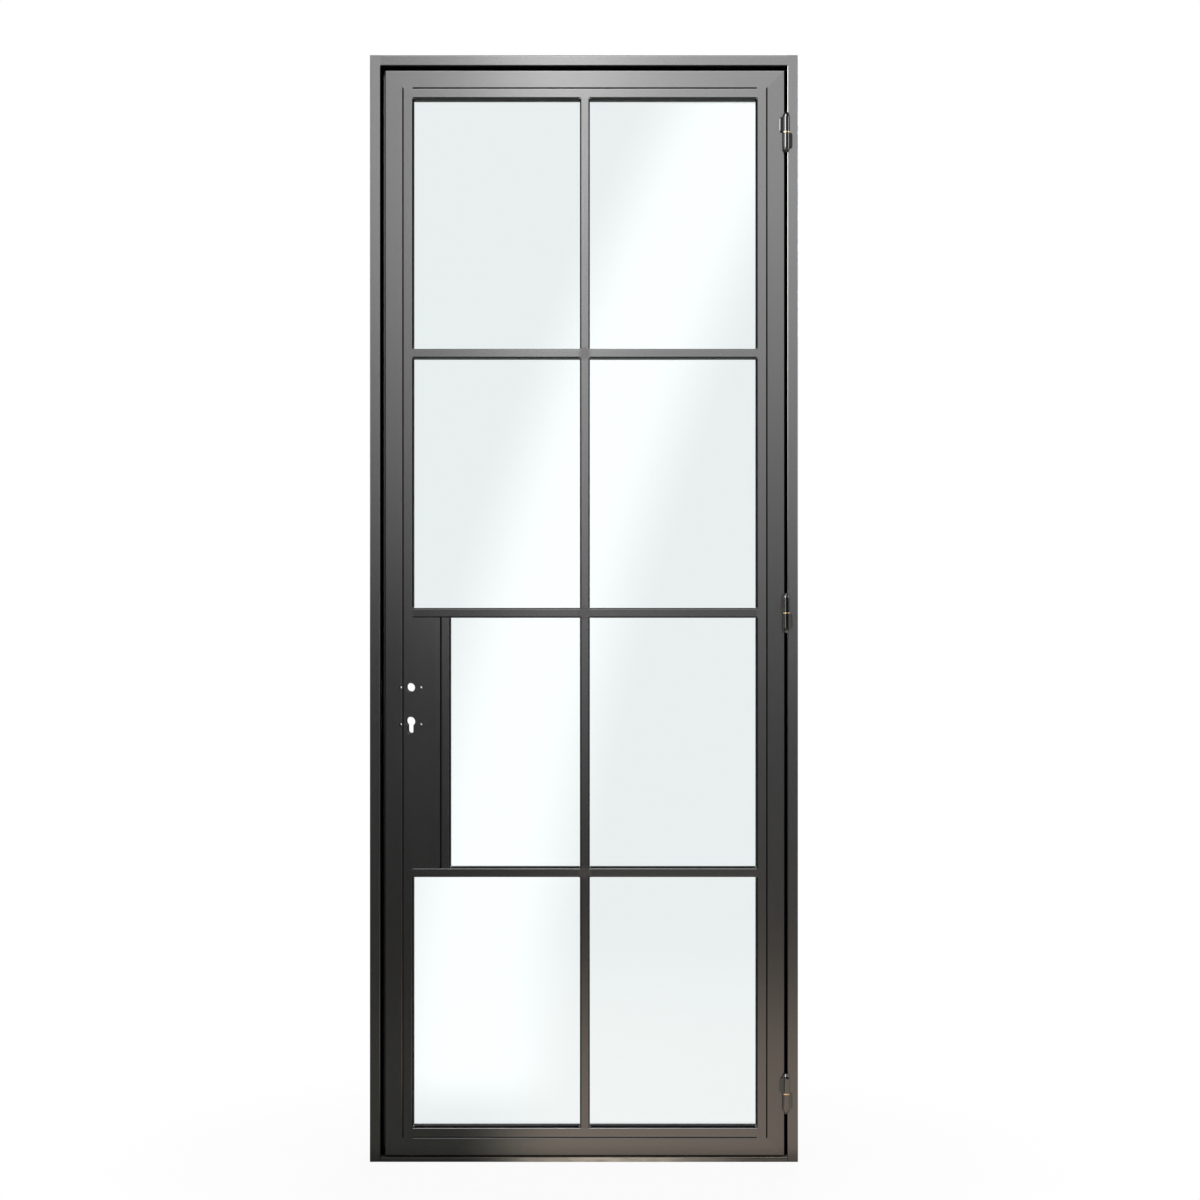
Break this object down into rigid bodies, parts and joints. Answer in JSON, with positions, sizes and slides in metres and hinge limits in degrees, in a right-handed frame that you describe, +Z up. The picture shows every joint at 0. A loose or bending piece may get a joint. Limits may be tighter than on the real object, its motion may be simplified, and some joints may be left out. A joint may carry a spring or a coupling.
{
  "type": "steel door",
  "caption": "Slim glazed steel door in its welded tube frame: a leaf with muntin lites and a lock box, hung on barrel hinges, swinging out of the frame.",
  "frame": {"origin": "middle of the threshold's underside, at the middle of the frame's width and depth", "axes": "+Z up the door, +X along the wall towards the hinge side, -Y out of the hinge face, the side the leaf opens to"},
  "size_m": [0.958, 0.1164, 2.476],
  "materials": {
    "black_paint": "satin",
    "glass": "gloss",
    "rubber": "matte",
    "brass": "satin",
    "bare_steel": "satin"
  },
  "bodies": {
    "frame": {"jamb_lock_side": "black_paint", "jamb_hinge_side": "black_paint", "frame_head": "black_paint", "threshold": "black_paint", "stop_lock_side": "black_paint", "stop_hinge_side": "black_paint", "stop_head": "black_paint", "weather_seal": "rubber", "hinge_frame_half_bottom": "black_paint", "hinge_frame_half_middle": "black_paint", "hinge_frame_half_top": "black_paint", "hinge_pin_bottom": "bare_steel", "hinge_pin_middle": "bare_steel", "hinge_pin_top": "bare_steel", "hinge_washer_bottom": "brass", "hinge_washer_middle": "brass", "hinge_washer_top": "brass"},
    "leaf": {"hinge_leaf_half_bottom": "black_paint", "hinge_leaf_half_middle": "black_paint", "hinge_leaf_half_top": "black_paint", "stile_lock_side": "black_paint", "stile_hinge_side": "black_paint", "rail_top": "black_paint", "rail_bottom": "black_paint", "glazing_tube_top": "black_paint", "glazing_tube_bottom": "black_paint", "glazing_tube_hinge_side": "black_paint", "glazing_tube_lock_upper": "black_paint", "glazing_tube_lock_lower": "black_paint", "lock_box_tube": "black_paint", "lock_plate_front": "black_paint", "lock_plate_back": "black_paint", "muntin_vertical": "black_paint", "muntin_upper_left": "black_paint", "muntin_upper_right": "black_paint", "muntin_middle_left": "black_paint", "muntin_middle_right": "black_paint", "muntin_lower_left": "black_paint", "muntin_lower_right": "black_paint", "pane_1_left": "glass", "pane_1_right": "glass", "pane_2_left": "glass", "pane_2_right": "glass", "pane_3_left": "glass", "pane_3_right": "glass", "pane_4_left": "glass", "pane_4_right": "glass", "glazing_tape_front": "rubber", "glazing_tape_back": "rubber", "bead_top": "black_paint", "bead_bottom": "black_paint", "bead_hinge_side": "black_paint", "bead_lock_side": "black_paint", "bead_lock_box": "black_paint", "bead_muntin_vertical": "black_paint", "bead_muntin_upper": "black_paint", "bead_muntin_middle": "black_paint", "bead_muntin_lower": "black_paint", "bead_screws": "bare_steel"}
  },
  "joints": [
    {"name": "leaf_swing", "type": "hinge", "parent": "frame", "child": "leaf", "pos_m": [0.452, -0.058, 0], "axis": [0, 0, 1], "range_deg": [0, 180]}
  ]
}
